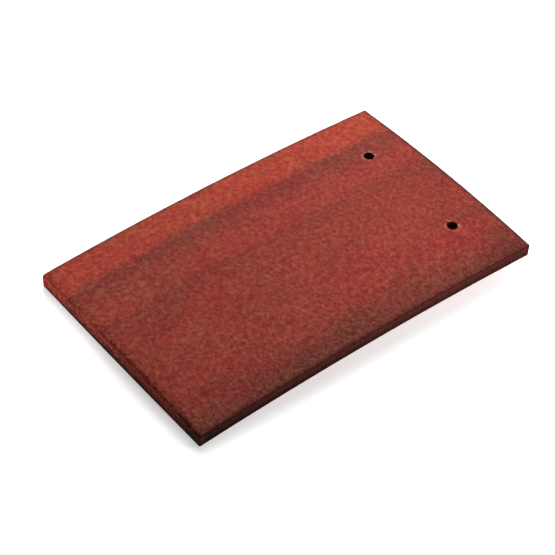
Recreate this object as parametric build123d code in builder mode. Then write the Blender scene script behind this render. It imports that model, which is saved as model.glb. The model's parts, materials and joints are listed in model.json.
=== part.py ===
from build123d import *
import math
import os

# Concrete plain tile, cast in one piece: a camber along its length, a crowned
# face, two nibs under the head and two nail holes. It is made with X across,
# +Y from tail to head and +Z out of the face, the crown of the face at the
# origin, and is then laid down on its nib tips and its tail edge.

# Plan
tile_length = 267.0  # tail to head, along the middle
tile_width = 165.0  # across the face
end_bow = 0.4  # the middle of the head and of the tail stands out past the corners

# Section
side_thickness = 9.8  # at the two long sides
crown = 2.75  # rise of the face from a long side to the middle; the back is flat across
camber = 4.43  # rise of the face from its two ends to the middle
side_draft = 2.0  # degrees, the long sides lean in towards the back

# Arrises
tail_round = 2.5  # the knife drags the face over at the tail
arris_round = 0.8  # every other edge, and the nib tips

# Nail holes, punched square to the tile
nail_hole_diameter = 7.0
nail_hole_spacing = 83.0  # centre to centre across the tile
nail_hole_from_head = 32.0
nail_hole_mouth_round = 0.5

# Nibs, which hook over the batten
nib_width = 28.0  # across the tile, at the tip
nib_length = 11.0  # along the tile, at the tip
nib_depth = 11.0  # tip below the back of the tile, at the hook
nib_spacing = 88.0  # centre to centre across the tile
nib_from_head = 5.0  # tip to head edge
nib_draft = 6.0  # degrees, all round
nib_corner_round = 2.5
nib_root_round = 1.5

half_length = tile_length / 2
half_width = tile_width / 2
thickness = side_thickness + crown  # in the middle of the tile
camber_radius = half_length**2 / (2 * camber) + camber / 2
back_radius = camber_radius - thickness
spare = 10.0  # how far a raw shape runs past the cut that ends it
cut_half_width = half_width + spare
cut_bow = end_bow * (cut_half_width / half_width) ** 2


def level_on_arc(radius, y):
    """Level at y along the tile on an arc about the camber's axis."""
    return math.sqrt(radius**2 - y**2) - camber_radius


hook_y = half_length - nib_from_head - nib_length
nib_tip_level = level_on_arc(back_radius, hook_y) - nib_depth

# The section turns about an axis far below the tile, which gives the camber.
# Its face line is a parabola.
camber_axis = Axis((0, 0, -camber_radius), (1, 0, 0))
half_turn = math.degrees((half_length + spare) / camber_radius)
section_plane = Plane(origin=(0, 0, -camber_radius), x_dir=(1, 0, 0), z_dir=(0, -1, 0))
side_level = camber_radius - crown
back_half_width = half_width - side_thickness * math.tan(math.radians(side_draft))

with BuildPart() as tile:
    with BuildSketch(section_plane.rotated((half_turn, 0, 0))):
        with BuildLine():
            face_line = Bezier(
                (-half_width, side_level),
                (0, side_level + 2 * crown),
                (half_width, side_level),
            )
            Polyline(
                face_line @ 1,
                (back_half_width, side_level - side_thickness),
                (-back_half_width, side_level - side_thickness),
                face_line @ 0,
            )
        make_face()
    revolve(axis=camber_axis, revolution_arc=-2 * half_turn)

    # The head and the tail are cut to a shallow bow, which is a parabola.
    with BuildSketch(Plane.XY.offset(spare)):
        with BuildLine():
            head_cut = Bezier(
                (-cut_half_width, half_length - cut_bow),
                (0, half_length + cut_bow),
                (cut_half_width, half_length - cut_bow),
            )
            tail_cut = Bezier(
                (-cut_half_width, cut_bow - half_length),
                (0, -half_length - cut_bow),
                (cut_half_width, cut_bow - half_length),
            )
            Line(head_cut @ 0, tail_cut @ 0)
            Line(head_cut @ 1, tail_cut @ 1)
        make_face()
    extrude(amount=-(thickness + camber + 2 * spare), mode=Mode.INTERSECT)

    # The round at the tail meets the face and the tail smoothly, in two long lines.
    face = tile.faces().sort_by(Axis.Z)[-1]
    fillet(face.edges().sort_by(Axis.Y)[0], radius=tail_round)
    long_tail_edges = tile.edges().filter_by(
        lambda edge: edge.length > half_width and edge.center().Y < 2 * tail_round - half_length
    )
    tail_back_edge, *smooth_lines = long_tail_edges.sort_by(Axis.Z)
    fillet(tile.edges() - smooth_lines, radius=arris_round)

    # The nibs grow from their tips up into the slab.
    with BuildSketch(Plane.XY.offset(nib_tip_level)):
        with Locations((0, hook_y + nib_length / 2)):
            with GridLocations(nib_spacing, 0, 2, 1):
                RectangleRounded(nib_width, nib_length, nib_corner_round)
    extrude(amount=nib_depth + thickness / 2, taper=-nib_draft)
    back = tile.faces().filter_by(GeomType.CYLINDER).sort_by(SortBy.AREA)[-1]
    fillet(back.inner_wires().edges(), radius=nib_root_round)
    nib_tips = tile.faces().group_by(Axis.Z)[0]
    fillet(nib_tips.edges(), radius=arris_round)

    with Locations((0, half_length - nail_hole_from_head)):
        with GridLocations(nail_hole_spacing, 0, 2, 1):
            Hole(nail_hole_diameter / 2)
    pierced_face = tile.faces().sort_by(Axis.Z)[-1]
    fillet(pierced_face.inner_wires().edges(), radius=nail_hole_mouth_round)

# Face up on a level floor, the tile touches it with the round of its tail's
# lower edge and with the round on the hook side of each nib tip. The two
# rounds are equal, so the floor is parallel to the line through their centres.
tail_round_y = arris_round - half_length
tail_round_level = level_on_arc(back_radius + arris_round, tail_round_y)
hook_round_y = hook_y + arris_round * math.tan(math.radians(90 - nib_draft) / 2)
hook_round_level = nib_tip_level + arris_round
pitch = math.atan2(tail_round_level - hook_round_level, hook_round_y - tail_round_y)

pitched = tile.part.rotate(Axis.X, math.degrees(pitch))
extent = pitched.bounding_box()
drop = Location((-extent.center().X, -extent.center().Y, -extent.min.Z))

with BuildPart() as plain_tile:
    with Locations(drop):
        add(pitched)

plain_tile.part.label = "plain_tile"
os.makedirs("parts", exist_ok=True)
export_step(plain_tile.part, "parts/plain_tile.step")
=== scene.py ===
"""The looks of a concrete plain tile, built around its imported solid.

The tile is one through-coloured casting: a slab curved along its length and crowned
across, with two nibs under its head and two nail holes. The solid gives its sizes and
its place. This script gives it a finer skin, with grain, air pits and a torn tail, a
streaked red concrete, a pale floor, soft light and the view.
"""

import itertools
import json
import logging
import math
from dataclasses import dataclass, field
from enum import Enum
from typing import NamedTuple

import bpy
import numpy as np
from mathutils import Matrix, Vector


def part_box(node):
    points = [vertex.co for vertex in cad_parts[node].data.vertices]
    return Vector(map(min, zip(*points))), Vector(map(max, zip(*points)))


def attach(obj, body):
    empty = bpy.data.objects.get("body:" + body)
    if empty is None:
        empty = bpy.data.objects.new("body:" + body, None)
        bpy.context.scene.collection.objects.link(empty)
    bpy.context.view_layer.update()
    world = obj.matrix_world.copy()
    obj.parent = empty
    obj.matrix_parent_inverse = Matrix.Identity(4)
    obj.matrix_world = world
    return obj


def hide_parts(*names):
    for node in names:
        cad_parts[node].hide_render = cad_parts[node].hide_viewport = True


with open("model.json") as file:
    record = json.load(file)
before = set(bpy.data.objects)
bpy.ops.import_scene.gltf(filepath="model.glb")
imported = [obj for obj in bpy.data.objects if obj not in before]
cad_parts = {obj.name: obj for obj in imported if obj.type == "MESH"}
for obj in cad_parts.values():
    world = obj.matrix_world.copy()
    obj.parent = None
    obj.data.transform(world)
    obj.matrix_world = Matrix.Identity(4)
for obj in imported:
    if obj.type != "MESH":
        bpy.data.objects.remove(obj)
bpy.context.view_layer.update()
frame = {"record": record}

MM = 0.001
NODE = "plain_tile"
TINY = 1e-9
WHITE = (1.0, 1.0, 1.0, 1.0)
QUARTER, HALF = math.pi / 2, math.pi  # a quarter turn and a half turn
MOST_NOISE = (0.3, 0.7)  # nearly all values of a noise pattern lie between these
Array = np.ndarray
Socket = bpy.types.NodeSocket
Span = tuple[float, float]
Place = Colour = tuple[float, float, float]
log = logging.getLogger("plain_tile")


class Side(Enum):
    """One of the tile's two long sides."""

    LEFT = -1
    RIGHT = 1


class Stretch(Enum):
    """A stretch of the closed lengthwise profile, in the order in which it is walked."""

    FACE = 0
    TAIL_ROUND = 1
    TAIL_WALL = 2
    TAIL_FOOT = 3
    BACK = 4
    HEAD_FOOT = 5
    HEAD_WALL = 6
    HEAD_ARRIS = 7


@dataclass(frozen=True)
class TileSizes:
    """The named sizes of the solid, in metres and radians."""

    length: float = 267.0 * MM
    width: float = 165.0 * MM
    end_bow: float = 0.4 * MM
    side_thickness: float = 9.8 * MM
    crown: float = 2.75 * MM
    camber: float = 4.43 * MM
    side_draft: float = math.radians(2.0)
    tail_round: float = 2.5 * MM
    arris_round: float = 0.8 * MM
    hole_radius: float = 3.5 * MM
    hole_spacing: float = 83.0 * MM
    hole_from_head: float = 32.0 * MM
    mouth_round: float = 0.5 * MM
    nib_width: float = 28.0 * MM
    nib_length: float = 11.0 * MM
    nib_depth: float = 11.0 * MM
    nib_spacing: float = 88.0 * MM
    nib_from_head: float = 5.0 * MM
    nib_draft: float = math.radians(6.0)
    nib_corner: float = 2.5 * MM
    nib_root: float = 1.5 * MM

    @property
    def half_length(self) -> float:
        """Half the length, over the bowed middle."""
        return self.length / 2

    @property
    def half_width(self) -> float:
        """Half the width of the face."""
        return self.width / 2

    @property
    def thickness(self) -> float:
        """Thickness in the middle of the tile."""
        return self.side_thickness + self.crown

    @property
    def camber_radius(self) -> float:
        """Radius of the face along its middle."""
        return self.half_length**2 / (2 * self.camber) + self.camber / 2

    @property
    def back_radius(self) -> float:
        """Radius of the back."""
        return self.camber_radius - self.thickness

    @property
    def hole_y(self) -> float:
        """Place along the tile of the nail holes."""
        return self.half_length - self.hole_from_head

    @property
    def hook_y(self) -> float:
        """Place along the tile of the nibs' hook side, at the tip."""
        return self.half_length - self.nib_from_head - self.nib_length

    @property
    def nib_tip_level(self) -> float:
        """Level of the nib tips below the crown of the face."""
        hook = math.sqrt(self.back_radius**2 - self.hook_y**2) - self.camber_radius
        return hook - self.nib_depth

    def face_radius(self, x: Array) -> Array:
        """Radius of the face along the tile, which falls from the crown as x^2."""
        return self.camber_radius - self.crown * (x / self.half_width) ** 2


@dataclass(frozen=True)
class Seat:
    """How the tile lies: turned about X by its pitch, then moved onto the floor."""

    pitch: float
    shift: Place

    @classmethod
    def found(cls, record: dict, points: Array) -> "Seat":
        """Find the seat from the nail holes' axis and the solid's box.

        Args:
            record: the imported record, whose first bore is a nail hole.
            points: the tile's points as it is made, (n, 3).

        Returns:
            The seat that lays these points where the solid lies.
        """
        axis = next(m["axis"] for m in record["mounts"] if m["kind"] == "bore")
        pitch = math.atan2(-axis[1], axis[2])
        turned = cls(pitch, (0.0, 0.0, 0.0)).place(points)
        low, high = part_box(NODE)
        middle = (np.array(low) + np.array(high) - turned.min(0) - turned.max(0)) / 2
        return cls(pitch, (middle[0], middle[1], low[2] - turned[:, 2].min()))

    def turn(self, vectors: Array) -> Array:
        """Turn directions, (..., 3), about X by the pitch."""
        c, s = math.cos(self.pitch), math.sin(self.pitch)
        return vectors @ np.array([[1, 0, 0], [0, c, s], [0, -s, c]])

    def place(self, points: Array) -> Array:
        """Turn points, (..., 3), by the pitch and move them to where the tile lies."""
        return self.turn(points) + np.array(self.shift)


class Bubbles(NamedTuple):
    """Air bubbles: the cubes they lie in, their radii, the share of cubes with one, and a pattern."""

    size: float
    radius: Span
    share: float
    turn: int


class Noise:
    """Seeded noise on points in space, worked out from whole-number hashes."""

    PRIMES = (73856093, 19349663, 83492791)
    SEED_PRIME, TURN_PRIME = 7919, 104729
    MIXERS = ((33, 0xFF51AFD7ED558CCD), (29, 0xC4CEB9FE1A85EC53))
    LAST_SHIFT, KEPT_BITS = 32, 0xFFFFFF
    LAYER_HEIGHT, LAYER_TURN, DRAW_TURN = 0.6, 31, 7

    def __init__(self, seed: int) -> None:
        """Keep the seed that every hash starts from."""
        self.seed = seed

    def _hash(self, cells: Array, turn: int) -> Array:
        """Give each whole-number cell, (n, 3), its own value from 0 to 1."""
        h = np.uint64(self.seed * self.SEED_PRIME + turn * self.TURN_PRIME)
        for column, prime in zip(cells.astype(np.int64).astype(np.uint64).T, self.PRIMES):
            h = h ^ (column * np.uint64(prime))
        for shift, factor in self.MIXERS:
            h ^= h >> np.uint64(shift)
            h *= np.uint64(factor)
        h ^= h >> np.uint64(self.LAST_SHIFT)
        return (h & np.uint64(self.KEPT_BITS)).astype(float) / self.KEPT_BITS

    def smooth(self, points: Array, size: float | Place, turn: int = 0) -> Array:
        """Blend the corner values of the cube round each point, with an eased weight per axis.

        Args:
            points: (n, 3).
            size: edge of the cubes, or one edge for each axis.
            turn: picks another pattern of the same seed.

        Returns:
            Noise from -1 to 1, (n,).
        """
        cell = points / np.asarray(size, float)
        base = np.floor(cell)
        ease = eased(cell - base, 0, 1)
        total = np.zeros(len(points))
        for corner in itertools.product((0, 1), repeat=3):
            weight = np.where(np.array(corner), ease, 1 - ease).prod(1)
            total += weight * self._hash(base + np.array(corner), turn)
        return 2 * total - 1

    def layered(self, points: Array, size: float, layers: int, turn: int = 0) -> Array:
        """Add noise of ever smaller cubes, each layer half the size and 0.6 the height of the last."""
        heights = self.LAYER_HEIGHT ** np.arange(layers)
        parts = [h * self.smooth(points, size / 2**k, turn + self.LAYER_TURN * k)
                 for k, h in enumerate(heights)]
        return sum(parts) / heights.sum()

    def bubbles(self, points: Array, kind: Bubbles) -> Array:
        """Cut points by round air bubbles scattered through the casting.

        Each cube may hold one bubble, with its middle and radius at random. The depth at a
        point is how far it lies inside the deepest bubble there.

        Args:
            points: (n, 3).
            kind: the bubbles.

        Returns:
            Depth inside a bubble as a share of its radius, from 0 to 1, (n,).
        """
        smallest, largest = kind.radius
        base = np.floor(points / kind.size)
        deepest = np.zeros(len(points))
        for step in itertools.product((-1, 0, 1), repeat=3):
            cell = base + np.array(step)
            draws = [self._hash(cell, kind.turn + self.DRAW_TURN * k) for k in range(1, 6)]
            middle = (cell + np.stack(draws[:3], 1)) * kind.size
            r = smallest + (largest - smallest) * draws[3] ** 2
            inside = 1 - ((points - middle) ** 2).sum(1) / r**2
            deepest = np.maximum(deepest, np.where(draws[4] < kind.share, inside, 0.0))
        return deepest


def eased(values: Array, low: float, high: float) -> Array:
    """Rise from 0 at low to 1 at high along 3t^2 - 2t^3."""
    t = np.clip((values - low) / (high - low), 0, 1)
    return t * t * (3 - 2 * t)


def unit(vectors: Array) -> Array:
    """Scale vectors, (..., 3), to length 1."""
    return vectors / np.linalg.norm(vectors, axis=-1, keepdims=True)


def rim(grid: Array) -> Array:
    """Walk once round the border of a grid and give its entries in that order."""
    return np.concatenate([grid[:-1, 0], grid[-1, :-1], grid[:0:-1, -1], grid[0, :0:-1]])


def share_along(points: Array) -> Array:
    """Give each point of a line, (n, 3), its share of the way along, from 0 to 1."""
    way = np.concatenate([[0.0], np.linalg.norm(np.diff(points, axis=0), axis=1).cumsum()])
    return way / way[-1]


def cells_of(numbers: Array) -> Array:
    """Give the four corners of each cell of a grid of numbered points, (rows, columns, 4)."""
    return np.stack([numbers[:-1, :-1], numbers[1:, :-1], numbers[1:, 1:], numbers[:-1, 1:]], -1)


class Shell:
    """Points and faces gathered into one closed mesh."""

    def __init__(self) -> None:
        """Start with nothing."""
        self._points: list[Array] = []
        self._quads: list[Array] = []
        self._triangles: list[Array] = []
        self._count = 0

    def add(self, points: Array) -> Array:
        """Take in points, (..., 3), and give their numbers in the same layout."""
        layout = points.shape[:-1]
        numbers = self._count + np.arange(math.prod(layout)).reshape(layout)
        self._points.append(points.reshape(-1, 3))
        self._count += numbers.size
        return numbers

    def skin(self, numbers: Array, kept: Array | None = None, flip: bool = False) -> None:
        """Lay quads on the cells of a grid of numbered points, or on those that are kept.

        Outside is where rows x columns points, and flip turns the faces over.
        """
        quads = cells_of(numbers)
        quads = quads.reshape(-1, 4) if kept is None else quads[kept]
        self._quads.append(quads[:, ::-1] if flip else quads)

    def rings(self, numbers: list[Array]) -> None:
        """Lay quads between closed lines of points, from one to the next."""
        grid = np.stack(numbers, 1)
        self.skin(np.vstack([grid, grid[:1]]))

    def lace(self, first: Array, second: Array, along_first: Array, along_second: Array,
             flip: bool = False) -> None:
        """Join two lines of different counts with triangles.

        Each step along either line is one triangle. Steps are taken in the order of the
        middle of their own segment, so neither line runs ahead of the other.

        Args:
            first: point numbers of one line, (n,).
            second: point numbers of the other, (m,).
            along_first: rising place of each point of the first line, (n,).
            along_second: rising place of each point of the second line, (m,).
            flip: turn the faces over.
        """
        middle_a = (along_first[1:] + along_first[:-1]) / 2
        middle_b = (along_second[1:] + along_second[:-1]) / 2
        at_b = np.searchsorted(middle_b, middle_a, side="left")
        at_a = np.searchsorted(middle_a, middle_b, side="right")
        a_steps = np.stack([first[:-1], first[1:], second[at_b]], 1)
        b_steps = np.stack([first[at_a], second[1:], second[:-1]], 1)
        triangles = np.vstack([a_steps, b_steps])
        self._triangles.append(triangles[:, ::-1] if flip else triangles)

    def closed(self) -> tuple[Array, Array, Array]:
        """Drop unused points and give points, quads and triangles.

        A quad with the same point at two neighbouring corners becomes a triangle.
        """
        points, quads = np.vstack(self._points), np.vstack(self._quads)
        same = quads == np.roll(quads, -1, axis=1)
        narrow = [quads[same[:, k]][:, [(k + step) % 4 for step in (1, 2, 3)]] for k in range(4)]
        quads, triangles = quads[~same.any(1)], np.vstack(self._triangles + narrow)
        used = np.unique(np.concatenate([quads.ravel(), triangles.ravel()]))
        new = np.zeros(len(points), int)
        new[used] = np.arange(len(used))
        return points[used], new[quads], new[triangles]


def point_normals(points: Array, quads: Array, triangles: Array) -> Array:
    """Sum the area vectors of the faces round each point and scale the sums to length 1."""
    total = np.zeros_like(points)
    q, t = points[quads], points[triangles]
    quad_area = np.cross(q[:, 2] - q[:, 0], q[:, 3] - q[:, 1])
    triangle_area = np.cross(t[:, 1] - t[:, 0], t[:, 2] - t[:, 0])
    for faces, area in ((quads, quad_area), (triangles, triangle_area)):
        for axis in range(3):
            share = np.repeat(area[:, axis], faces.shape[1])
            total[:, axis] += np.bincount(faces.ravel(), share, len(points))
    return unit(total)


@dataclass(frozen=True)
class Window:
    """A block of cells taken out of the skin: its point numbers, places and middle."""

    numbers: Array
    p: Array
    q: Array
    middle: Span

    def outline(self, half_x: float | Array, half_y: float | Array, corner: float | Array,
                p: Array | None = None, q: Array | None = None) -> tuple[Array, Array]:
        """Carry the block's border onto a rounded rectangle round its middle.

        From the middle of each side, a point's share of the way to the block's corner is
        its share of the way to the middle of the rounded corner. A corner as large as
        both halves makes a circle.

        Args:
            half_x: half size across, one value or one for each point.
            half_y: half size along.
            corner: corner radius.
            p: place across in the block, from -1 to 1; the border's own if None.
            q: place along in the block, from -1 to 1; the border's own if None.

        Returns:
            x and y of each point.
        """
        p = rim(self.p) if p is None else p
        q = rim(self.q) if q is None else q
        on_x_side = np.abs(p) >= np.abs(q)
        share = np.where(on_x_side, np.abs(q), np.abs(p))
        straight = np.where(on_x_side, half_y - corner, half_x - corner)
        way = share * (straight + corner * math.pi / 4)
        run = np.minimum(way, straight)
        bend = np.maximum(way - straight, 0) / corner
        along = run + corner * np.sin(bend)
        out = np.where(on_x_side, half_x, half_y) - corner + corner * np.cos(bend)
        x = np.where(on_x_side, out, along) * np.sign(p)
        y = np.where(on_x_side, along, out) * np.sign(q)
        return self.middle[0] + x, self.middle[1] + y

    def circle(self, radius: float) -> tuple[Array, Array]:
        """Carry the block's border onto a circle round its middle."""
        return self.outline(radius, radius, radius)


@dataclass(frozen=True)
class Relief:
    """The small heights and hollows of the concrete's skin. All of them go inwards.

    A span holds the two values between which something rises from 0 to 1: parts of the
    outward direction, depths below the face, or ways in from an edge.
    """

    seed: int = 41
    grain: float = 0.15 * MM
    grain_size: float = 2.4 * MM
    wall_grain: float = 0.6
    ridge: float = 0.05 * MM
    ridge_size: Place = (2.6 * MM, 70 * MM, 40 * MM)
    sag: float = 0.10 * MM
    sag_size: Place = (26 * MM, 60 * MM, 26 * MM)
    torn: float = 0.75 * MM
    torn_size: float = 3.4 * MM
    torn_power: float = 1.5
    underside: float = 0.03 * MM
    chip: float = 0.35 * MM
    chip_size: float = 5.0 * MM
    chip_span: Span = (0.05, 0.6)
    pit: float = 0.13 * MM
    small: Bubbles = Bubbles(3.3 * MM, (0.75 * MM, 1.3 * MM), 0.8, 1)
    large: Bubbles = Bubbles(5.5 * MM, (0.9 * MM, 1.7 * MM), 0.45, 60)
    rare: Bubbles = Bubbles(11.0 * MM, (0.8 * MM, 2.0 * MM), 0.5, 120)
    pitted_across: Span = (-60 * MM, 60 * MM)
    pitted_least: float = 0.35
    large_share: float = 0.9
    upright: Span = (0.55, 0.95)
    turned: Span = (0.03, 0.25)
    face_depth: Span = (0.5 * MM, 1.2 * MM)
    tail_length: Span = (2.2 * MM, 7.0 * MM)
    tail_depth: Span = (8.0 * MM, 11.0 * MM)
    arris_depth: Span = (1.5 * MM, 3.0 * MM)
    margin_width: Span = (1.0 * MM, 4.0 * MM)
    nib_depth: Span = (1.0 * MM, 3.0 * MM)
    foot_depth: Span = (4.2 * MM, 6.8 * MM)
    mouth_width: Span = (0.0, 3.0 * MM)
    shown: tuple[str, ...] = ("tail", "arris", "margin", "wall", "foot", "mouth")

    def zones(self, points: Array, normals: Array, sizes: TileSizes) -> dict[str, Array]:
        """Say how far each point belongs to each zone of the tile.

        The zones are the face, the torn tail, the arrises, the face's margin along them,
        the underside, the walls (the sides, the ends and the bores), the walls' feet and
        the rims of the nail holes.

        Args:
            points: the smooth skin in the tile's own frame, (n, 3).
            normals: its outward directions, (n, 3).
            sizes: the tile's sizes.

        Returns:
            A weight from 0 to 1 for each zone, (n,).
        """
        x, y, z = points.T
        below = sizes.face_radius(x) - np.hypot(y, z + sizes.camber_radius)
        up = eased(normals[:, 2], *self.upright)
        under = eased(-normals[:, 2], *self.upright)
        face = up * (1 - eased(below, *self.face_depth))
        tail = 1 - eased(y + sizes.half_length, *self.tail_length)
        tail = tail * (1 - eased(below, *self.tail_depth))
        turned = eased(1 - np.abs(normals).max(1), *self.turned)
        arris = turned * (1 - eased(below, *self.arris_depth))
        inwards = np.minimum(sizes.half_width - np.abs(x), sizes.half_length - y)
        margin = face * (1 - arris) * (1 - eased(inwards, *self.margin_width))
        wall = np.clip(1 - up - under, 0, 1)
        wall = wall * (1 - eased(below - sizes.thickness, *self.nib_depth))
        from_hole = np.hypot(np.abs(x) - sizes.hole_spacing / 2, y - sizes.hole_y)
        from_mouth = from_hole - sizes.hole_radius - sizes.mouth_round
        return {"face": face, "tail": tail, "arris": arris, "margin": margin, "under": under,
                "wall": wall, "foot": wall * eased(below, *self.foot_depth),
                "mouth": face * (1 - eased(from_mouth, *self.mouth_width))}

    def pits(self, points: Array, zones: dict[str, Array]) -> Array:
        """Give the depth of the air pits, from 0 to 1: many on the face and the tail, few below."""
        noise = Noise(self.seed + 1)
        crowd = eased(points[:, 0], *self.pitted_across)
        small, large, rare = (noise.bubbles(points, kind) for kind in (self.small, self.large, self.rare))
        few = small * (self.pitted_least + (1 - self.pitted_least) * crowd)
        on_face = zones["face"] * np.maximum(few, self.large_share * large * crowd)
        on_tail = zones["tail"] * np.maximum(small, large)
        rest = np.clip(1 - zones["face"] - zones["tail"], 0, 1) * rare
        return np.maximum(np.maximum(on_face, on_tail), rest)

    def depth(self, points: Array, zones: dict[str, Array], pits: Array) -> Array:
        """Add up how far each point is sunk below the smooth skin.

        Grain is layered noise of about 2 mm. Ridges are noise drawn out along the tile, as
        the roller leaves them. The tail, where the knife tore the green concrete, and the
        arrises have coarser, deeper noise. Pits come on top.

        Args:
            points: the smooth skin in the tile's own frame, (n, 3).
            zones: weights of the zones.
            pits: depth of the pits from 0 to 1.

        Returns:
            Depth in metres, never below 0, (n,).
        """
        noise = Noise(self.seed)
        grain = 0.5 + 0.5 * noise.layered(points, self.grain_size, 2, 3)
        sag = 0.5 + 0.5 * noise.smooth(points, self.sag_size, 9)
        ridge = 0.5 + 0.5 * noise.smooth(points, self.ridge_size, 13)
        rough = 0.5 + 0.5 * noise.layered(points, self.torn_size, 2, 17)
        chips = eased(noise.layered(points, self.chip_size, 2, 23), *self.chip_span)
        face, tail = zones["face"], zones["tail"]
        depth = face * (self.grain * grain + self.sag * sag + self.ridge * ridge)
        depth += zones["wall"] * (1 - tail) * self.wall_grain * self.grain * grain
        depth += zones["under"] * self.underside * grain
        depth += tail * self.torn * rough**self.torn_power
        depth += zones["arris"] * (1 - tail) * self.chip * chips
        return depth + self.pit * pits


@dataclass
class TileBody:
    """The whole tile, skinned finely round the sizes of its solid.

    Blocks of cells give way to the nail holes and the nibs: a hole's block has its half
    sizes here, on the face and on the back, and a nib's has its spare round the nib.
    """

    sizes: TileSizes = field(default_factory=TileSizes)
    relief: Relief = field(default_factory=Relief)
    columns: int = 186
    rows: dict[Stretch, int] = field(default_factory=lambda: {
        Stretch.FACE: 300, Stretch.TAIL_ROUND: 4, Stretch.TAIL_WALL: 8, Stretch.TAIL_FOOT: 4,
        Stretch.BACK: 92, Stretch.HEAD_FOOT: 4, Stretch.HEAD_WALL: 10, Stretch.HEAD_ARRIS: 4})
    arris_steps: int = 3
    face_rings: int = 4
    back_rings: int = 3
    bore_steps: int = 10
    mouth_turns: tuple[float, ...] = (30.0, 60.0, 90.0)
    root_steps: int = 4
    nib_steps: int = 7
    arris_repeats: int = 5
    nib_repeats: int = 4
    face_block: float = 7 * MM
    back_block: float = 8 * MM
    nib_spare: float = 4.2 * MM
    clear: Span = (0.2 * MM, 2.5 * MM)
    sharp: float = math.radians(60)
    calm_side: Span = (1.6 * MM, 0.7 * MM)
    calm_end: Span = (7 * MM, 3 * MM)
    calmed: float = 0.75

    def start(self, stretch: Stretch) -> int:
        """Row of the loop at which a stretch begins."""
        return sum(self.rows[s] for s in Stretch if s.value < stretch.value)

    def back_level(self, y: Array) -> Array:
        """Level of the back: one circle along the tile, straight across."""
        return np.sqrt(self.sizes.back_radius**2 - y**2) - self.sizes.camber_radius

    def profile(self, stretch: Stretch, t: Array, x: Array) -> tuple[Array, Array, Array]:
        """Points of one stretch of the lengthwise profile.

        The face and the back are arcs about the camber's axis. The ends are upright and
        stand back from the middle as x^2. Each round has its middle at its own radius from
        the end and from the arc, so it meets both smoothly.

        Args:
            stretch: which stretch.
            t: share of the way along it, from 0 to 1, broadcast with x.
            x: place across the tile.

        Returns:
            y, z and the angle of the outward direction, from +Z towards +Y.
        """
        s = self.sizes
        end = s.half_length - s.end_bow * (x / s.half_width) ** 2
        rho = s.face_radius(x)

        def knee(way: int, r: float, reach: float | Array) -> tuple[Array, Array, Array]:
            """Middle of a round, y and z, and the angle at which it leaves the arc."""
            y = way * (end - r)
            return y, np.sqrt(reach**2 - y**2) - s.camber_radius, np.arcsin(y / reach)

        head_top = knee(1, s.arris_round, rho - s.arris_round)
        tail_top = knee(-1, s.tail_round, rho - s.tail_round)
        tail_low = knee(-1, s.arris_round, s.back_radius + s.arris_round)
        head_low = knee(1, s.arris_round, s.back_radius + s.arris_round)
        walls = {Stretch.TAIL_WALL: (-1, tail_top[1], tail_low[1], -QUARTER),
                 Stretch.HEAD_WALL: (1, head_low[1], head_top[1], -HALF - QUARTER)}
        arcs = {Stretch.FACE: (rho, head_top[2], tail_top[2], 0.0),
                Stretch.BACK: (s.back_radius, tail_low[2], head_low[2], HALF)}
        rounds = {
            Stretch.TAIL_ROUND: (tail_top, s.tail_round, tail_top[2], -QUARTER),
            Stretch.TAIL_FOOT: (tail_low, s.arris_round, -QUARTER, tail_low[2] - HALF),
            Stretch.HEAD_FOOT: (head_low, s.arris_round, head_low[2] - HALF, -HALF - QUARTER),
            Stretch.HEAD_ARRIS: (head_top, s.arris_round, -HALF - QUARTER, head_top[2] - 2 * HALF)}
        if stretch in walls:
            way, first, last, angle = walls[stretch]
            z = first + (last - first) * t
            return way * end + 0 * z, z, 0 * z + angle
        if stretch in arcs:
            radius, first, last, turned = arcs[stretch]
            angle = first + (last - first) * t
            return radius * np.sin(angle), radius * np.cos(angle) - s.camber_radius, angle - turned
        middle, r, first, last = rounds[stretch]
        angle = first + (last - first) * t
        return middle[0] + r * np.sin(angle), middle[1] + r * np.cos(angle), angle

    def lean(self, x: Array, y: Array, z: Array, angle: Array) -> tuple[Array, Array]:
        """Outward direction of the skin and the direction away from the camber's axis.

        Args:
            x, y, z: the place.
            angle: angle of the outward direction in the profile.

        Returns:
            Both as unit vectors, (..., 3). The outward one leans sideways by the slope of
            the crown on the face and by that of the bow at the ends.
        """
        s = self.sizes
        slope = s.crown * np.maximum(np.cos(angle), 0) + s.end_bow * np.abs(np.sin(angle))
        outward = unit(np.stack([2 * x / s.half_width**2 * slope, np.sin(angle), np.cos(angle)], -1))
        return outward, unit(np.stack([0 * x, y, z + s.camber_radius], -1))

    def side_reach(self, stretch: Stretch, t: Array) -> Array:
        """Find how far across the skin runs before the right side's arris begins, (n,).

        A round of the arris's radius touches the skin there and ends on the side wall,
        which leans in by its draft. A few repeats settle the place.

        Args:
            stretch: which stretch of the profile.
            t: share of the way along it, (n,).
        """
        s, r = self.sizes, self.sizes.arris_round
        x = np.full_like(t, s.half_width - r)
        for _ in range(self.arris_repeats):
            y, z, angle = self.profile(stretch, t, x)
            outward, away = self.lean(x, y, z, angle)
            rho = np.hypot(y, z + s.camber_radius) - r * (outward * away).sum(-1)
            rho -= r * math.sin(s.side_draft)
            wall = s.half_width - (s.face_radius(s.half_width) - rho) * math.tan(s.side_draft)
            x = wall + r * (outward[:, 0] - math.cos(s.side_draft))
        return x

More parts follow.
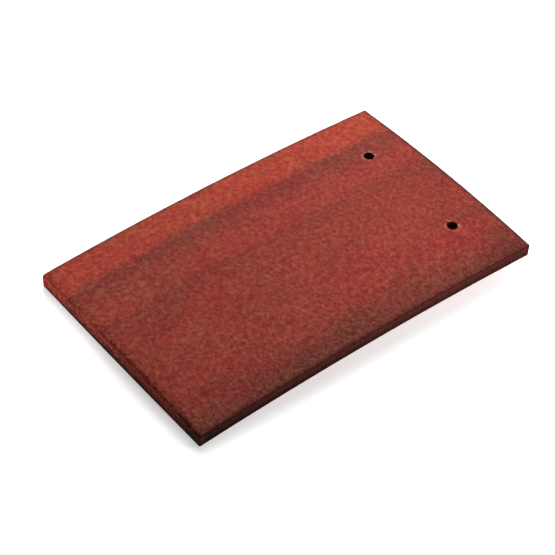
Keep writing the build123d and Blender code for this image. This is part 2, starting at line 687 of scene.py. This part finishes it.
    def belt(self) -> tuple[Array, Array]:
        """Work out the skin round the tile lengthwise, and the side arrises.

        Rows follow the closed profile and columns go across. Past the last column, the
        rounds of the arris swing from the skin's outward direction to the side wall's.

        Returns:
            The belt, (rows, columns + 1, 3), and the right side's arris, (rows, steps, 3).
        """
        s = self.sizes
        across = np.linspace(-1, 1, self.columns + 1)
        k = (np.arange(1, self.arris_steps + 1) / self.arris_steps)[:, None]
        belts, sides = [], []
        for stretch in Stretch:
            t = np.arange(self.rows[stretch]) / self.rows[stretch]
            reach = self.side_reach(stretch, t)
            x = reach[:, None] * across
            y, z, _ = self.profile(stretch, t[:, None], x)
            belts.append(np.stack([x, y, z], -1))
            y, z, angle = self.profile(stretch, t, reach)
            outward, away = self.lean(reach, y, z, angle)
            wall = math.cos(s.side_draft) * np.array([1.0, 0, 0]) - math.sin(s.side_draft) * away
            swing = np.arccos((outward * wall).sum(-1))[:, None, None]
            middle = np.stack([reach, y, z], -1) - s.arris_round * outward
            part = np.sin((1 - k) * swing) * outward[:, None] + np.sin(k * swing) * wall[:, None]
            sides.append(middle[:, None] + s.arris_round * part / np.sin(swing))
        return np.vstack(belts), np.vstack(sides)

    def gather(self, numbers: Array) -> Array:
        """Make an arris's inner line, the last of (rows, steps), one point where a round closes it."""
        for stretch in (Stretch.TAIL_FOOT, Stretch.HEAD_FOOT, Stretch.HEAD_ARRIS):
            first = self.start(stretch)
            rows = np.arange(first, first + self.rows[stretch] + 1) % len(numbers)
            numbers[rows, -1] = numbers[first, -1]
        return numbers

    def cap_side(self, shell: Shell, numbers: Array, line: Array, side: Side) -> None:
        """Fill a side wall inside its arris.

        Its corners are at the ends of the head wall, in the middle of the tail's round and
        at the foot of the tail. Rows run from the line under the face to just above the
        back, each blended from the four border lines (top and bottom, plus head and tail,
        less the corners), and the last strip is laced to the coarser line along the back.

        Args:
            shell: takes the points and faces.
            numbers: point numbers of the arris's inner line, one for each row of the loop.
            line: its points, (rows, 3).
            side: which side.
        """
        m, half = self.rows[Stretch.HEAD_WALL], self.rows[Stretch.TAIL_ROUND] // 2
        head_top, tail_top = self.start(Stretch.HEAD_ARRIS), self.start(Stretch.TAIL_WALL) - half
        top = np.arange(tail_top + 1)
        head = np.arange(head_top, head_top - m - 1, -1)
        tail = np.arange(tail_top, tail_top + m + 1)
        low = np.arange(self.start(Stretch.HEAD_FOOT), self.start(Stretch.BACK) - 1, -1)
        a, a_low = share_along(line[top]), share_along(line[low])
        b = np.linspace(0, 1, m + 1)[None, :, None]
        under = np.stack([np.interp(a, a_low, line[low][:, k]) for k in range(3)], -1)
        w = a[:, None, None]
        blend = (1 - b) * line[top][:, None] + b * under[:, None]
        blend = blend + (1 - w) * line[head][None] + w * line[tail][None]
        blend -= (1 - w) * ((1 - b) * line[top[0]] + b * line[low[0]])
        blend -= w * ((1 - b) * line[top[-1]] + b * line[low[-1]])
        grid = np.empty((len(top), m), int)
        grid[:, 0], grid[0], grid[-1] = numbers[top], numbers[head[:-1]], numbers[tail[:-1]]
        grid[1:-1, 1:] = shell.add(blend[1:-1, 1:m])
        flip = side is Side.LEFT
        shell.skin(grid, flip=flip)
        shell.lace(grid[:, -1], numbers[low], a, a_low, flip=flip)

    def window(self, numbers: Array, points: Array, stretch: Stretch, middle: Span, half: Span,
               kept: Array) -> tuple[Window, Array]:
        """Take a block of cells out of the belt.

        Args:
            numbers: the belt's point numbers.
            points: the belt's points.
            stretch: the stretch that holds the block.
            middle: x and y of the block's middle.
            half: about half its size across and along.
            kept: the belt's cells, in which the block is cleared.

        Returns:
            The window and the points of its border, (n, 3).
        """
        rows = np.arange(self.start(stretch), self.start(stretch) + self.rows[stretch] + 1)
        x, y = points[rows[len(rows) // 2], :, 0], points[rows, self.columns // 2, 1]
        j0, j1 = (int(np.abs(x - middle[0] - w * half[0]).argmin()) for w in (-1, 1))
        ends = sorted(int(np.abs(y - middle[1] - w * half[1]).argmin()) for w in (-1, 1))
        i0, i1 = rows[ends[0]], rows[ends[1]]
        kept[i0:i1, j0:j1] = False
        way = np.sign(y[ends[1]] - y[ends[0]])
        q, p = np.meshgrid(way * np.linspace(-1, 1, i1 - i0 + 1), np.linspace(-1, 1, j1 - j0 + 1),
                           indexing="ij")
        block = (slice(i0, i1 + 1), slice(j0, j1 + 1))
        border = np.stack([rim(points[block][..., k]) for k in range(3)], -1)
        return Window(numbers[block], p, q, middle), border

    def approach(self, border: Array, x: Array, y: Array, on_face: bool) -> list[Array]:
        """Give rings on the face or the back that turn a block's border into the outline x, y."""
        steps, rings = self.face_rings if on_face else self.back_rings, []
        for w in np.arange(1, steps + 1) / steps:
            px, py = (1 - w) * border[:, 0] + w * x, (1 - w) * border[:, 1] + w * y
            radius = self.sizes.face_radius(px) if on_face else self.sizes.back_radius
            rings.append(np.stack([px, py, np.sqrt(radius**2 - py**2) - self.sizes.camber_radius], -1))
        return rings

    def nail_hole(self, shell: Shell, numbers: Array, points: Array, kept: Array, side: Side) -> None:
        """Punch one nail hole through the skin.

        Rings close in on the mouth on the face, roll over its round, go down the bore and
        open out again on the back. The bore is laced to the back's own coarser ring.

        Args:
            shell: takes the points and faces.
            numbers: the belt's point numbers.
            points: the belt's points.
            kept: the belt's cells.
            side: which hole.
        """
        s, r, m = self.sizes, self.sizes.hole_radius, self.sizes.mouth_round
        middle = (side.value * s.hole_spacing / 2, s.hole_y)
        window, border = self.window(
            numbers, points, Stretch.FACE, middle, (self.face_block, self.face_block), kept)
        rings = self.approach(border, *window.circle(r + m), on_face=True)
        brim = rings[-1][:, 2]
        for turn in np.radians(self.mouth_turns):
            x, y = window.circle(r + m * (1 - math.sin(turn)))
            rings.append(np.stack([x, y, brim - m * (1 - math.cos(turn))], -1))
        depth = brim - m - self.back_level(y)
        rings += [np.stack([x, y, brim - m - depth * k / self.bore_steps], -1)
                  for k in range(1, self.bore_steps)]
        rows = [rim(window.numbers)] + [shell.add(ring) for ring in rings]
        shell.rings(rows)

        window, border = self.window(
            numbers, points, Stretch.BACK, middle, (self.back_block, self.back_block), kept)
        low_x, low_y = window.circle(r)
        low_rings = self.approach(border, low_x, low_y, on_face=False)
        low_rows = [rim(window.numbers)] + [shell.add(ring) for ring in low_rings]
        shell.rings(low_rows)

        lines, turns = [], []
        for ring, px, py in ((rows[-1], x, y), (low_rows[-1], low_x, low_y)):
            turn = np.arctan2(py - middle[1], px - middle[0]) % (2 * math.pi)
            order = np.argsort(turn)
            lines.append(ring[np.append(order, order[0])])
            turns.append(np.append(turn[order], turn[order[0]] + 2 * math.pi))
        shell.lace(*lines, *turns)

    def nib(self, shell: Shell, numbers: Array, points: Array, kept: Array, side: Side) -> None:
        """Grow one nib out of the back.

        Rings close in on the nib's root, roll down its concave round, follow the drafted
        wall, whose outline shrinks evenly towards the tip, and roll over the tip's round.
        The block's own cells, drawn in from the outline, close the tip.

        Args:
            shell: takes the points and faces.
            numbers: the belt's point numbers.
            points: the belt's points.
            kept: the belt's cells.
            side: which nib.
        """
        s, draft, root, tip = self.sizes, self.sizes.nib_draft, self.sizes.nib_root, self.sizes.arris_round
        half_x, half_y = s.nib_width / 2, s.nib_length / 2
        middle = (side.value * s.nib_spacing / 2, s.hook_y + half_y)
        block = (half_x + self.nib_spare, half_y + self.nib_spare)
        window, border = self.window(numbers, points, Stretch.BACK, middle, block, kept)

        def outline(grow: Array | float) -> tuple[Array, Array]:
            """The nib's outline, grown by so much."""
            return window.outline(half_x + grow, half_y + grow, s.nib_corner + grow)

        y = np.full(len(border), middle[1])
        for _ in range(self.nib_repeats):
            middle_level = self.back_level(y) - root
            swell = (middle_level - s.nib_tip_level) * math.tan(draft) + root / math.cos(draft)
            x, y = outline(swell)
        rings = self.approach(border, x, y, on_face=False)
        for turn in np.linspace(QUARTER, draft, self.root_steps + 1)[1:]:
            x, y = outline(swell - root * math.cos(turn))
            rings.append(np.stack([x, y, middle_level + root * math.sin(turn)], -1))
        foot = s.nib_tip_level + tip * (1 - math.sin(draft))
        wall_top = rings[-1][:, 2]
        for k in np.linspace(0, 1, self.nib_steps + 1)[1:]:
            z = wall_top + (foot - wall_top) * k
            x, y = outline((z - s.nib_tip_level) * math.tan(draft))
            rings.append(np.stack([x, y, z], -1))
        inset = tip * math.tan((QUARTER - draft) / 2)
        for turn in np.linspace(QUARTER - draft, 0, self.arris_steps + 1)[1:]:
            x, y = outline(tip * math.sin(turn) - inset)
            z = np.full(len(x), s.nib_tip_level + tip * (1 - math.cos(turn)))
            rings.append(np.stack([x, y, z], -1))
        rows = [rim(window.numbers)] + [shell.add(ring) for ring in rings]
        shell.rings(rows)

        p, q = window.p[1:-1, 1:-1], window.q[1:-1, 1:-1]
        share = np.maximum(np.maximum(np.abs(p), np.abs(q)), TINY)
        x, y = window.outline(half_x - inset, half_y - inset, s.nib_corner - inset, p / share, q / share)
        x, y = middle[0] + (x - middle[0]) * share, middle[1] + (y - middle[1]) * share
        grid = np.empty(window.p.shape, int)
        grid.flat[rim(np.arange(grid.size).reshape(grid.shape))] = rows[-1]
        grid[1:-1, 1:-1] = shell.add(np.stack([x, y, np.full(x.shape, s.nib_tip_level)], -1))
        shell.skin(grid)

    def skin(self) -> tuple[Array, Array, Array]:
        """Build the smooth skin in the tile's own frame and give points, quads and triangles."""
        shell = Shell()
        belt, right = self.belt()
        left = right * np.array([-1.0, 1.0, 1.0])
        numbers = shell.add(belt)
        right_numbers, left_numbers = self.gather(shell.add(right)), self.gather(shell.add(left))
        kept = np.ones((len(belt), self.columns), bool)
        for side in Side:
            self.nail_hole(shell, numbers, belt, kept, side)
            self.nib(shell, numbers, belt, kept, side)
        shell.skin(np.vstack([numbers, numbers[:1]]), kept)
        shell.rings([numbers[:, -1], *right_numbers.T])
        shell.rings([*left_numbers.T[::-1], numbers[:, 0]])
        self.cap_side(shell, right_numbers[:, -1], right[:, -1], Side.RIGHT)
        self.cap_side(shell, left_numbers[:, -1], left[:, -1], Side.LEFT)
        return shell.closed()

    def calm(self, points: Array) -> Array:
        """Fade the relief of the side walls where they run out into the ends, (n,)."""
        across, along = self.sizes.half_width, self.sizes.half_length
        at_side = eased(np.abs(points[:, 0]), *(across - inwards for inwards in self.calm_side))
        at_end = eased(np.abs(points[:, 1]), *(along - inwards for inwards in self.calm_end))
        return 1 - self.calmed * at_side * at_end

    def build(self, skin: tuple[Array, Array, Array], seat: Seat) -> bpy.types.Object:
        """Sink the relief into the skin, lay the tile down and make it an object.

        Args:
            skin: points, quads and triangles of the smooth skin.
            seat: how the tile lies.
        """
        smooth, quads, triangles = skin
        normals = point_normals(smooth, quads, triangles)
        zones = self.relief.zones(smooth, normals, self.sizes)
        pits = self.relief.pits(smooth, zones)
        clear = eased(seat.place(smooth)[:, 2], *self.clear) * self.calm(smooth)
        depth = clear * self.relief.depth(smooth, zones, pits)
        points = seat.place(smooth - depth[:, None] * normals)

        mesh = bpy.data.meshes.new("concrete_tile")
        mesh.from_pydata(points, [], quads.tolist() + triangles.tolist())
        shown = {name: zones[name] for name in self.relief.shown}
        for name, values in ({"pit": clear * pits} | shown).items():
            layer = mesh.attributes.new(name, "FLOAT", "POINT")
            layer.data.foreach_set("value", values.astype(np.float32))
        mesh.polygons.foreach_set("use_smooth", np.ones(len(mesh.polygons), bool))
        mesh.set_sharp_from_angle(angle=self.sharp)
        mesh.update()
        tile = bpy.data.objects.new("concrete_tile", mesh)
        bpy.context.scene.collection.objects.link(tile)
        log.info("concrete_tile: %d points, %d triangles", len(points), 2 * len(quads) + len(triangles))
        return tile

    def dress(self, tile: bpy.types.Object, finish: "RedConcrete") -> None:
        """Give the tile its concrete and say what it rides on and stands for."""
        tile.data.materials.append(finish.material())
        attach(tile, "root")
        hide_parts(NODE)


class Lumps(NamedTuple):
    """A noise pattern: lumps to a metre, layers, their strength, its own slice, squeeze along Y."""

    scale: float
    layers: float
    strength: float = 0.5
    slice: float = 0.0
    along: float = 1.0


class Board:
    """A material's nodes, with short calls that add and join them."""

    def __init__(self, name: str) -> None:
        """Start a material with its shader, its output and the place that its patterns read."""
        self.material = bpy.data.materials.new(name)
        self.material.use_nodes = True
        self.tree = self.material.node_tree
        self.tree.nodes.clear()
        self.shader = self.add("ShaderNodeBsdfPrincipled")
        self.add("ShaderNodeOutputMaterial", {"Surface": self.shader.outputs["BSDF"]})
        self.place = self.add("ShaderNodeTexCoord").outputs["Object"]

    def fill(self, node: bpy.types.Node, inputs: dict) -> None:
        """Fill a node's inputs, named or numbered, with values, or join them to sockets."""
        for key, value in inputs.items():
            if isinstance(value, Socket):
                self.tree.links.new(value, node.inputs[key])
            else:
                node.inputs[key].default_value = value

    def add(self, kind: str, inputs: dict | None = None, **settings: object) -> bpy.types.Node:
        """Add a node of a kind, with its own settings and its inputs."""
        node = self.tree.nodes.new(kind)
        for key, value in settings.items():
            setattr(node, key, value)
        self.fill(node, inputs or {})
        return node

    def step(self, operation: str, *values: Socket | float) -> Socket:
        """One step of arithmetic on numbers or sockets."""
        return self.add("ShaderNodeMath", dict(enumerate(values)), operation=operation).outputs[0]

    def times(self, product: Socket, *factors: Socket | float) -> Socket:
        """Multiply sockets and numbers."""
        for factor in factors:
            product = self.step("MULTIPLY", product, factor)
        return product

    def ranged(self, value: Socket, low: float, high: float, to_low: float = 0.0,
               to_high: float = 1.0, kind: str = "SMOOTHSTEP") -> Socket:
        """Carry one range onto another, clamped, and eased at both ends unless kind is LINEAR."""
        inputs = {"Value": value, "From Min": low, "From Max": high, "To Min": to_low, "To Max": to_high}
        return self.add("ShaderNodeMapRange", inputs, interpolation_type=kind).outputs["Result"]

    def mixed(self, kind: str, factor: Socket | float, *colours: Socket | Colour) -> Socket:
        """Join two colours by a factor, in a kind of mixing."""
        first, second = ((*c, 1.0) if isinstance(c, tuple) else c for c in colours)
        inputs = {0: factor, 6: first, 7: second}
        return self.add("ShaderNodeMix", inputs, data_type="RGBA", blend_type=kind).outputs[2]

    def tinted(self, colour: Socket | Colour, factor: Socket | float, tint: Socket | Colour) -> Socket:
        """Multiply a colour by a tint, as far as the factor says."""
        return self.mixed("MULTIPLY", factor, colour, tint)

    def painted(self, colour: Socket, factor: Socket, paint: Colour) -> Socket:
        """Lay a paint over a colour, as far as the factor says."""
        return self.mixed("MIX", factor, colour, paint)

    def grey(self, red: Socket, others: Socket) -> Socket:
        """Make a colour from its red and from one value for green and blue."""
        return self.add("ShaderNodeCombineColor", {0: red, 1: others, 2: others}).outputs["Color"]

    def noise(self, lumps: Lumps) -> Socket:
        """Noise of one pattern at the piece's own place."""
        place = self.place
        if lumps.along != 1:
            place = self.add("ShaderNodeMapping", {"Vector": place, "Scale": (1, lumps.along, 1)}).outputs[0]
        inputs = {"Vector": place, "Scale": lumps.scale, "Detail": lumps.layers,
                  "Roughness": lumps.strength, "W": lumps.slice}
        return self.add("ShaderNodeTexNoise", inputs, noise_dimensions="4D").outputs["Fac"]

    def axis(self, name: str) -> Socket:
        """Take one coordinate of the place."""
        return self.add("ShaderNodeSeparateXYZ", {"Vector": self.place}).outputs[name]

    def attribute(self, name: str) -> Socket:
        """Read one of the mesh's own zones."""
        return self.add("ShaderNodeAttribute", attribute_name=name).outputs["Fac"]

    def ramp(self, value: Socket, stops: list[tuple[float, Colour]]) -> Socket:
        """Colour by a ramp of (place, colour) stops."""
        node = self.add("ShaderNodeValToRGB", {"Fac": value})
        elements = node.color_ramp.elements
        for element, (place, colour) in zip(elements, (stops[0], stops[-1])):
            element.position, element.color = place, (*colour, 1.0)
        for place, colour in stops[1:-1]:
            elements.new(place).color = (*colour, 1.0)
        return node.outputs["Color"]


@dataclass(frozen=True)
class RedConcrete:
    """Through-coloured red concrete, streaked along the tile, matt, with an open grain.

    First come its colours, then the tints that are multiplied in, several of them painted shade, then its
    patterns.
    """

    half_width: float = 82.5 * MM
    orange_red: Colour = (0.345, 0.0425, 0.0222)
    purple_brown: Colour = (0.204, 0.0322, 0.0205)
    crimson: Colour = (0.288, 0.0366, 0.0232)
    faint_brown: Colour = (0.232, 0.0320, 0.0205)
    plain_red: Colour = (0.258, 0.0346, 0.0212)
    brown_red: Colour = (0.150, 0.0300, 0.0190)
    paste: Colour = (0.32, 0.130, 0.100)
    chipped: Colour = (0.36, 0.175, 0.115)
    shade: Colour = (0.058, 0.0050, 0.0040)
    roughness: Span = (0.82, 0.96)
    specular: float = 0.15
    wall_specular: float = 0.07
    bump: float = 0.7
    bump_height: float = 0.5 * MM

    brown_patch: Colour = (0.78, 0.98, 0.86)
    crimson_blotch: Colour = (1.04, 0.80, 0.97)
    towards_tail: Colour = (1.0, 1.17, 1.13)
    # painted shade towards the head's near corner
    shade_near_head: Colour = (0.79, 0.71, 0.68)
    # painted shade on the tail: at its foot, towards its near end and in its near corner
    tail_foot_shade: Colour = (0.84, 0.90, 0.92)
    tail_near_shade: Colour = (0.68, 0.72, 0.74)
    tail_corner_shade: Colour = (0.45, 0.45, 0.47)
    near_margin: Colour = (0.76, 0.66, 0.66)
    far_margin: Colour = (0.60, 0.85, 0.90)
    head_margin: Colour = (0.76, 0.82, 0.84)
    arris: Colour = (0.36, 0.23, 0.24)
    # painted shade on the walls, more towards the tail
    wall: Colour = (0.40, 0.27, 0.24)
    wall_shade_by_tail: Colour = (0.70, 0.75, 0.75)
    # painted shade at the walls' feet, more towards the tail
    foot: Colour = (0.28, 0.28, 0.28)

    wander: Lumps = Lumps(30.0, 1.0, 0.5, 1.3, 0.2)
    ragged: Lumps = Lumps(330.0, 3.0, 0.6, 4.1, 0.6)
    patches: Lumps = Lumps(46.0, 4.0, 0.6, 8.2, 0.6)
    blotches: Lumps = Lumps(36.0, 3.0, 0.6, 2.2, 0.5)
    mottle: Lumps = Lumps(340.0, 2.0, 0.5, 2.7)
    grains: Lumps = Lumps(760.0, 1.0, 0.5, 9.4)
    specks: Lumps = Lumps(500.0, 1.0, 0.5, 5.5)
    torn: Lumps = Lumps(420.0, 2.0, 0.6, 6.3)
    chips: Lumps = Lumps(260.0, 3.0, 0.6, 7.7)
    grit: Lumps = Lumps(1100.0, 3.0, 0.6, 3.6)

    def tones(self, board: Board) -> Socket:
        """Colour by the place across the tile, with the streaks' edges wandering a little."""
        x = board.axis("X")
        for lumps, sway in ((self.wander, 1.3 * MM), (self.ragged, 1.9 * MM)):
            x = board.step("ADD", x, board.ranged(board.noise(lumps), *MOST_NOISE, -sway, sway))
        across = board.ranged(x, -self.half_width, self.half_width, kind="LINEAR")
        streaks_mm = (
            (-82.0, self.orange_red), (-61.5, self.orange_red), (-54.5, self.purple_brown),
            (-49.0, self.purple_brown), (-34.0, self.crimson), (-24.0, self.crimson),
            (-16.0, self.faint_brown), (-8.0, self.plain_red), (18.0, self.crimson),
            (46.0, self.crimson), (60.0, self.plain_red), (82.0, self.brown_red))
        return board.ramp(across, [
            ((x * MM + self.half_width) / (2 * self.half_width), tone) for x, tone in streaks_mm])

    def grained(self, board: Board, colour: Socket, mottle: Socket) -> Socket:
        """Break the tones up: brown patches, crimson blotches, paler green and blue towards the tail,
        painted shade towards the head's near corner, and a mottling that moves green and blue more than red.
        """
        x, y = board.axis("X"), board.axis("Y")
        patches = board.ranged(board.noise(self.patches), 0.42, 0.66)
        patches = board.times(patches, board.ranged(x, -60 * MM, 70 * MM, 0.35, 0.95))
        # painted shade: darker towards the head's near corner
        corner = board.times(board.ranged(y, 60 * MM, 135 * MM), board.ranged(x, -110 * MM, 80 * MM))
        blotches = board.ranged(board.noise(self.blotches), 0.46, 0.62)
        to_tail = board.ranged(y, 60 * MM, -125 * MM)
        for factor, tint in ((patches, self.brown_patch), (to_tail, self.towards_tail),
                             (corner, self.shade_near_head), (blotches, self.crimson_blotch)):
            colour = board.tinted(colour, factor, tint)
        light = board.ranged(mottle, *MOST_NOISE, 0.75, 1.24, kind="LINEAR")
        colour = board.tinted(colour, 1.0, board.grey(light, board.step("POWER", light, 3.2)))
        grains = board.ranged(board.noise(self.grains), 0.56, 0.70, 0.0, 0.30)
        return board.painted(colour, grains, self.paste)

    def edged(self, board: Board, colour: Socket) -> Socket:
        """Darken the arrises and the face's margins, paint shade on the tail, the walls and their feet, and
        lay pale paste round the nail holes.
        """
        tail, arris, margin, wall, foot, mouth = (
            board.attribute(name) for name in ("tail", "arris", "margin", "wall", "foot", "mouth"))
        x, y = board.axis("X"), board.axis("Y")
        # painted shade in the torn tail's roughness, more towards its foot
        torn = board.times(board.ranged(board.noise(self.torn), 0.51, 0.57), tail,
                           board.step("MULTIPLY_ADD", foot, 0.25, 0.60))
        colour = board.painted(colour, torn, self.shade)
        plain = board.step("MULTIPLY_ADD", tail, -0.85, 1.0)
        near = board.ranged(x, 76 * MM, 79 * MM)
        inner = board.times(plain, margin, board.step("SUBTRACT", 1.0, near))
        wall_shade_zone = board.times(plain, wall)
        for tint, *zones in (
                # painted shade at the tail's foot
                (self.tail_foot_shade, tail, foot),
                # painted shade towards the tail's near end
                (self.tail_near_shade, tail, wall, board.ranged(x, 0.0, 70 * MM)),
                (self.near_margin, plain, margin, near),
                (self.far_margin, inner),
                (self.head_margin, inner, board.ranged(y, 128 * MM, 131 * MM)),
                (self.arris, plain, arris),
                # painted shade on the walls
                (self.wall, wall_shade_zone),
                # more painted shade on the walls towards the tail
                (self.wall_shade_by_tail, wall_shade_zone, board.ranged(y, 30 * MM, -130 * MM)),
                # painted shade at the walls' feet
                (self.foot, plain, foot, board.ranged(y, 130 * MM, -60 * MM, 0.6, 1.0)),
                # painted shade in the tail's near corner
                (self.tail_corner_shade, wall, board.ranged(x, 52 * MM, 80 * MM),
                 board.ranged(y, -104 * MM, -131 * MM))):
            colour = board.tinted(colour, board.times(*zones), tint)
        chips = board.ranged(board.noise(self.chips), 0.49, 0.57, 0.0, 0.85)
        return board.painted(colour, board.times(chips, mouth), self.chipped)

    def material(self) -> bpy.types.Material:
        """Build the material: tones, mottling, specks, edges and pits, and a grain of bumps."""
        board = Board("red_concrete")
        mottle = board.noise(self.mottle)
        colour = self.grained(board, self.tones(board), mottle)

        x = board.axis("X")
        crowd = board.step("ADD", board.ranged(x, -70 * MM, 80 * MM, 0.5, 1.1),
                           board.ranged(x, 50 * MM, 78 * MM, 0.0, 0.5))
        specks = board.times(board.ranged(board.noise(self.specks), 0.54, 0.66), crowd)
        colour = board.painted(colour, board.times(specks, 0.32), self.shade)
        pits = board.ranged(board.attribute("pit"), 0.05, 0.85, 0.0, 0.18)
        colour = self.edged(board, board.painted(colour, pits, self.shade))

        height = board.step("MULTIPLY_ADD", mottle, 0.8, board.noise(self.grit))
        height = board.step("SUBTRACT", height, board.times(specks, 0.4))
        bump = board.add("ShaderNodeBump", {
            "Height": height, "Strength": self.bump, "Distance": self.bump_height})
        duller = self.wall_specular - self.specular
        board.fill(board.shader, {
            "Base Color": colour, "Normal": bump.outputs["Normal"],
            "Roughness": board.ranged(mottle, *MOST_NOISE, *self.roughness),
            "Specular IOR Level": board.step(
                "MULTIPLY_ADD", board.attribute("wall"), duller, self.specular)})
        board.material.diffuse_color = (*self.plain_red, 1.0)
        return board.material


@dataclass(frozen=True)
class PaleFloor:
    """A plain pale studio floor, lit a little from within like a light table."""

    colour: Colour = (0.93, 0.93, 0.93)
    cloud: Lumps = Lumps(6.0, 3.0)
    clouded: Span = (0.97, 1.03)
    glow: float = 0.50
    roughness: float = 0.95
    specular: float = 0.1
    half_size: float = 4.0
    cells: int = 8

    def build(self) -> None:
        """Lay the floor, a grid at level 0, with its clouded, glowing material."""
        side = np.linspace(-self.half_size, self.half_size, self.cells + 1)
        x, y = np.meshgrid(side, side, indexing="ij")
        quads = cells_of(np.arange(x.size).reshape(x.shape)).reshape(-1, 4)
        mesh = bpy.data.meshes.new("floor")
        mesh.from_pydata(np.stack([x, y, 0 * x], -1).reshape(-1, 3), [], quads.tolist())
        board = Board("pale_floor")
        cloud = board.ranged(board.noise(self.cloud), *MOST_NOISE, *self.clouded)
        board.fill(board.shader, {
            "Base Color": board.tinted(self.colour, 1.0, board.grey(cloud, cloud)),
            "Emission Color": WHITE, "Emission Strength": self.glow,
            "Roughness": self.roughness, "Specular IOR Level": self.specular})
        mesh.materials.append(board.material)
        floor = bpy.data.objects.new("floor", mesh)
        bpy.context.scene.collection.objects.link(floor)
        log.info("floor: %d faces", len(mesh.polygons))


@dataclass(frozen=True)
class Softbox:
    """A square soft light: its name, place, aim, size and power."""

    name: str
    place: Place
    aim: Place
    size: float
    power: float

    def build(self) -> None:
        """Hang the light, turn it to its aim and hide it from the camera."""
        light = bpy.data.lights.new(self.name, "AREA")
        light.shape, light.size, light.energy = "SQUARE", self.size, self.power
        hung = bpy.data.objects.new(self.name, light)
        hung.location = self.place
        way = Vector(self.aim) - Vector(self.place)
        hung.rotation_euler = way.to_track_quat("-Z", "Y").to_euler()
        hung.visible_camera = False
        bpy.context.scene.collection.objects.link(hung)
        log.info("light %s: %.3f W", self.name, self.power)


@dataclass(frozen=True)
class Studio:
    """The floor, the soft lights and the dim surroundings."""

    floor: PaleFloor = PaleFloor()
    lights: tuple[Softbox, ...] = (
        Softbox("key", (-0.46, 0.47, 0.62), (-0.02, 0.0, 0.0), 1.1, 16.8),
        Softbox("tail_fill", (-0.04, -0.20, 0.021), (-0.096, -0.133, 0.012), 0.03, 0.031),
        Softbox("side_fill", (0.35, 0.30, 0.12), (0.08, 0.10, 0.005), 0.2, 1.45),
    )
    surround: float = 0.07

    def build(self) -> None:
        """Set up the studio."""
        self.floor.build()
        for light in self.lights:
            light.build()
        world = bpy.data.worlds.new("studio")
        world.use_nodes = True
        background = world.node_tree.nodes["Background"]
        background.inputs["Color"].default_value = WHITE
        background.inputs["Strength"].default_value = self.surround
        scene = bpy.context.scene
        scene.world = world
        scene.view_settings.view_transform = "Standard"
        scene.view_settings.look = "None"


@dataclass(frozen=True)
class Viewpoint:
    """The photograph's viewing angle, measured in the tile's own frame."""

    azimuth: float = 0.864348
    elevation: float = 0.798304
    roll: float = 0.047187
    target: Place = (13.226 * MM, -20.447 * MM, 0.0)
    distance: float = 1223.74 * MM
    focal_pixels: float = 1957.92
    frame_pixels: int = 555
    sensor: float = 36.0
    clip: Span = (0.05, 20.0)

    def build(self, seat: Seat) -> None:
        """Set the camera where the photograph was taken from, carried with the tile to its seat."""
        a, e, r = self.azimuth, self.elevation, self.roll
        back = np.array([math.sin(a) * math.cos(e), -math.cos(a) * math.cos(e), math.sin(e)])
        right = unit(np.cross(-back, [0.0, 0.0, 1.0]))
        up = np.cross(right, -back)
        rolled = (math.cos(r) * right + math.sin(r) * up, math.cos(r) * up - math.sin(r) * right)
        axes = seat.turn(np.array([*rolled, back]))
        place = seat.place(np.array(self.target) + self.distance * back)
        data = bpy.data.cameras.new("view")
        data.sensor_fit, data.sensor_width = "HORIZONTAL", self.sensor
        data.lens = self.focal_pixels * self.sensor / self.frame_pixels
        data.clip_start, data.clip_end = self.clip
        camera = bpy.data.objects.new("view", data)
        camera.matrix_world = Matrix.Translation(Vector(place)) @ Matrix(axes.T.tolist()).to_4x4()
        bpy.context.scene.collection.objects.link(camera)
        bpy.context.scene.camera = camera
        log.info("camera at %s, lens %.1f mm", np.round(place, 3).tolist(), data.lens)


def main() -> None:
    """Build the tile, the studio and the view, in that order."""
    logging.basicConfig(level=logging.INFO, format="%(name)s: %(message)s")
    body = TileBody()
    skin = body.skin()
    seat = Seat.found(frame["record"], skin[0])
    tile = body.build(skin, seat)
    body.dress(tile, RedConcrete())
    Studio().build()
    Viewpoint().build(seat)


if __name__ == "__main__":
    main()
